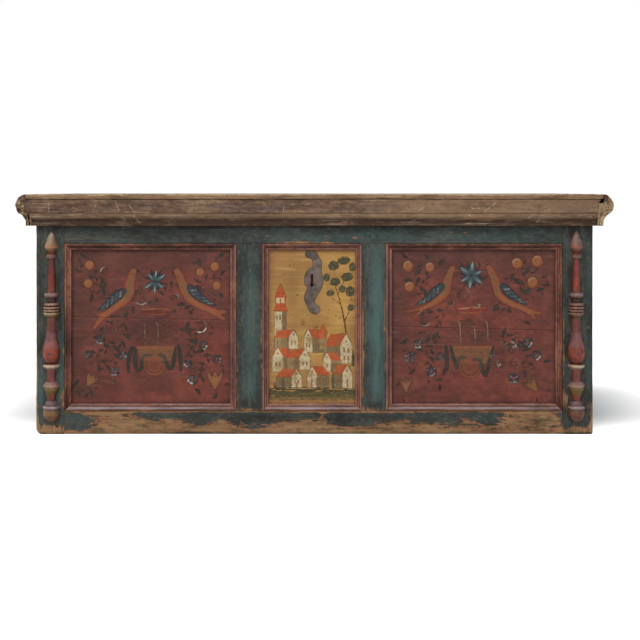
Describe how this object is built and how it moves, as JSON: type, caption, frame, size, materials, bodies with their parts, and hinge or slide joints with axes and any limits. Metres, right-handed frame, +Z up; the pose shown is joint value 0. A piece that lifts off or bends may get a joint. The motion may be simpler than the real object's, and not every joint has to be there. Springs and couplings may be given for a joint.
{
  "type": "painted chest",
  "caption": "Panelled blanket chest of painted softwood with a moulded hinged lid, split-turned columns on the front, an inner lock and a lidded till.",
  "frame": {"origin": "middle of the bounding box on the floor", "axes": "+Z up, +X to the right seen from the front, the painted front faces -Y"},
  "size_m": [1.654, 0.65, 0.6703],
  "materials": {
    "frame_green": "dark teal-green paint, worn through along the edges",
    "panel_red": "dark red-brown paint with painted ornament",
    "panel_ochre": "ochre paint with a painted scene",
    "moulding_red": "red-brown paint, worn on the crests",
    "column_paint": "red paint with ochre and grey rings",
    "side_green": "dark green paint, rubbed",
    "raw_pine": "aged bare softwood",
    "lid_brown": "brown paint worn to the wood",
    "peg_wood": "oiled hardwood",
    "wrought_iron": "dark forged iron",
    "nail_iron": "rusty forged iron"
  },
  "bodies": {
    "case": {"front_stile_left": "frame_green", "front_stile_right": "frame_green", "front_muntin_left": "frame_green", "front_muntin_right": "frame_green", "front_top_rail": "frame_green", "front_bottom_rail": "frame_green", "front_panel_left_upper": "panel_red", "front_panel_left_lower": "panel_red", "front_panel_right_upper": "panel_red", "front_panel_right_lower": "panel_red", "front_panel_centre": "panel_ochre", "moulding_left_top": "moulding_red", "moulding_left_bottom": "moulding_red", "moulding_left_left": "moulding_red", "moulding_left_right": "moulding_red", "moulding_centre_top": "moulding_red", "moulding_centre_bottom": "moulding_red", "moulding_centre_left": "moulding_red", "moulding_centre_right": "moulding_red", "moulding_right_top": "moulding_red", "moulding_right_bottom": "moulding_red", "moulding_right_left": "moulding_red", "moulding_right_right": "moulding_red", "column_left": "column_paint", "column_right": "column_paint", "side_left_upper": "side_green", "side_left_lower": "side_green", "side_right_upper": "side_green", "side_right_lower": "side_green", "back_upper": "raw_pine", "back_lower": "raw_pine", "bottom_front": "raw_pine", "bottom_rear": "raw_pine", "till_front": "raw_pine", "till_bottom": "raw_pine", "frame_pegs": "peg_wood", "escutcheon": "wrought_iron", "lock_plate": "wrought_iron", "lock_cover": "wrought_iron", "lock_spring": "wrought_iron", "hinge_leaf_left": "wrought_iron", "hinge_leaf_right": "wrought_iron", "hinge_pin_left": "wrought_iron", "hinge_pin_right": "wrought_iron", "wood_nails": "nail_iron", "moulding_pins": "nail_iron", "ironwork_nails": "nail_iron"},
    "lid": {"lid_board_front": "lid_brown", "lid_board_rear": "lid_brown", "lid_front_band": "lid_brown", "lid_front_cyma": "lid_brown", "lid_end_moulding_left": "lid_brown", "lid_end_moulding_right": "lid_brown", "hinge_strap_left": "wrought_iron", "hinge_strap_right": "wrought_iron", "lid_staple": "wrought_iron", "strap_nails": "nail_iron", "lid_nails": "nail_iron"},
    "till_cover": {"till_lid": "raw_pine"},
    "bolt": {"lock_bolt": "wrought_iron"}
  },
  "joints": [
    {"name": "lid_hinge", "type": "hinge", "parent": "case", "child": "lid", "pos_m": [0, 0.2953, 0.6423], "axis": [-1, 0, 0], "range_deg": [0, 104]},
    {"name": "till_lid_hinge", "type": "hinge", "parent": "case", "child": "till_cover", "pos_m": [-0.745, 0, 0.5098], "axis": [0, -1, 0], "range_deg": [0, 90]},
    {"name": "lock_bolt_slide", "type": "slide", "parent": "case", "child": "bolt", "axis": [1, 0, 0], "range_m": [0, 0.016]}
  ]
}
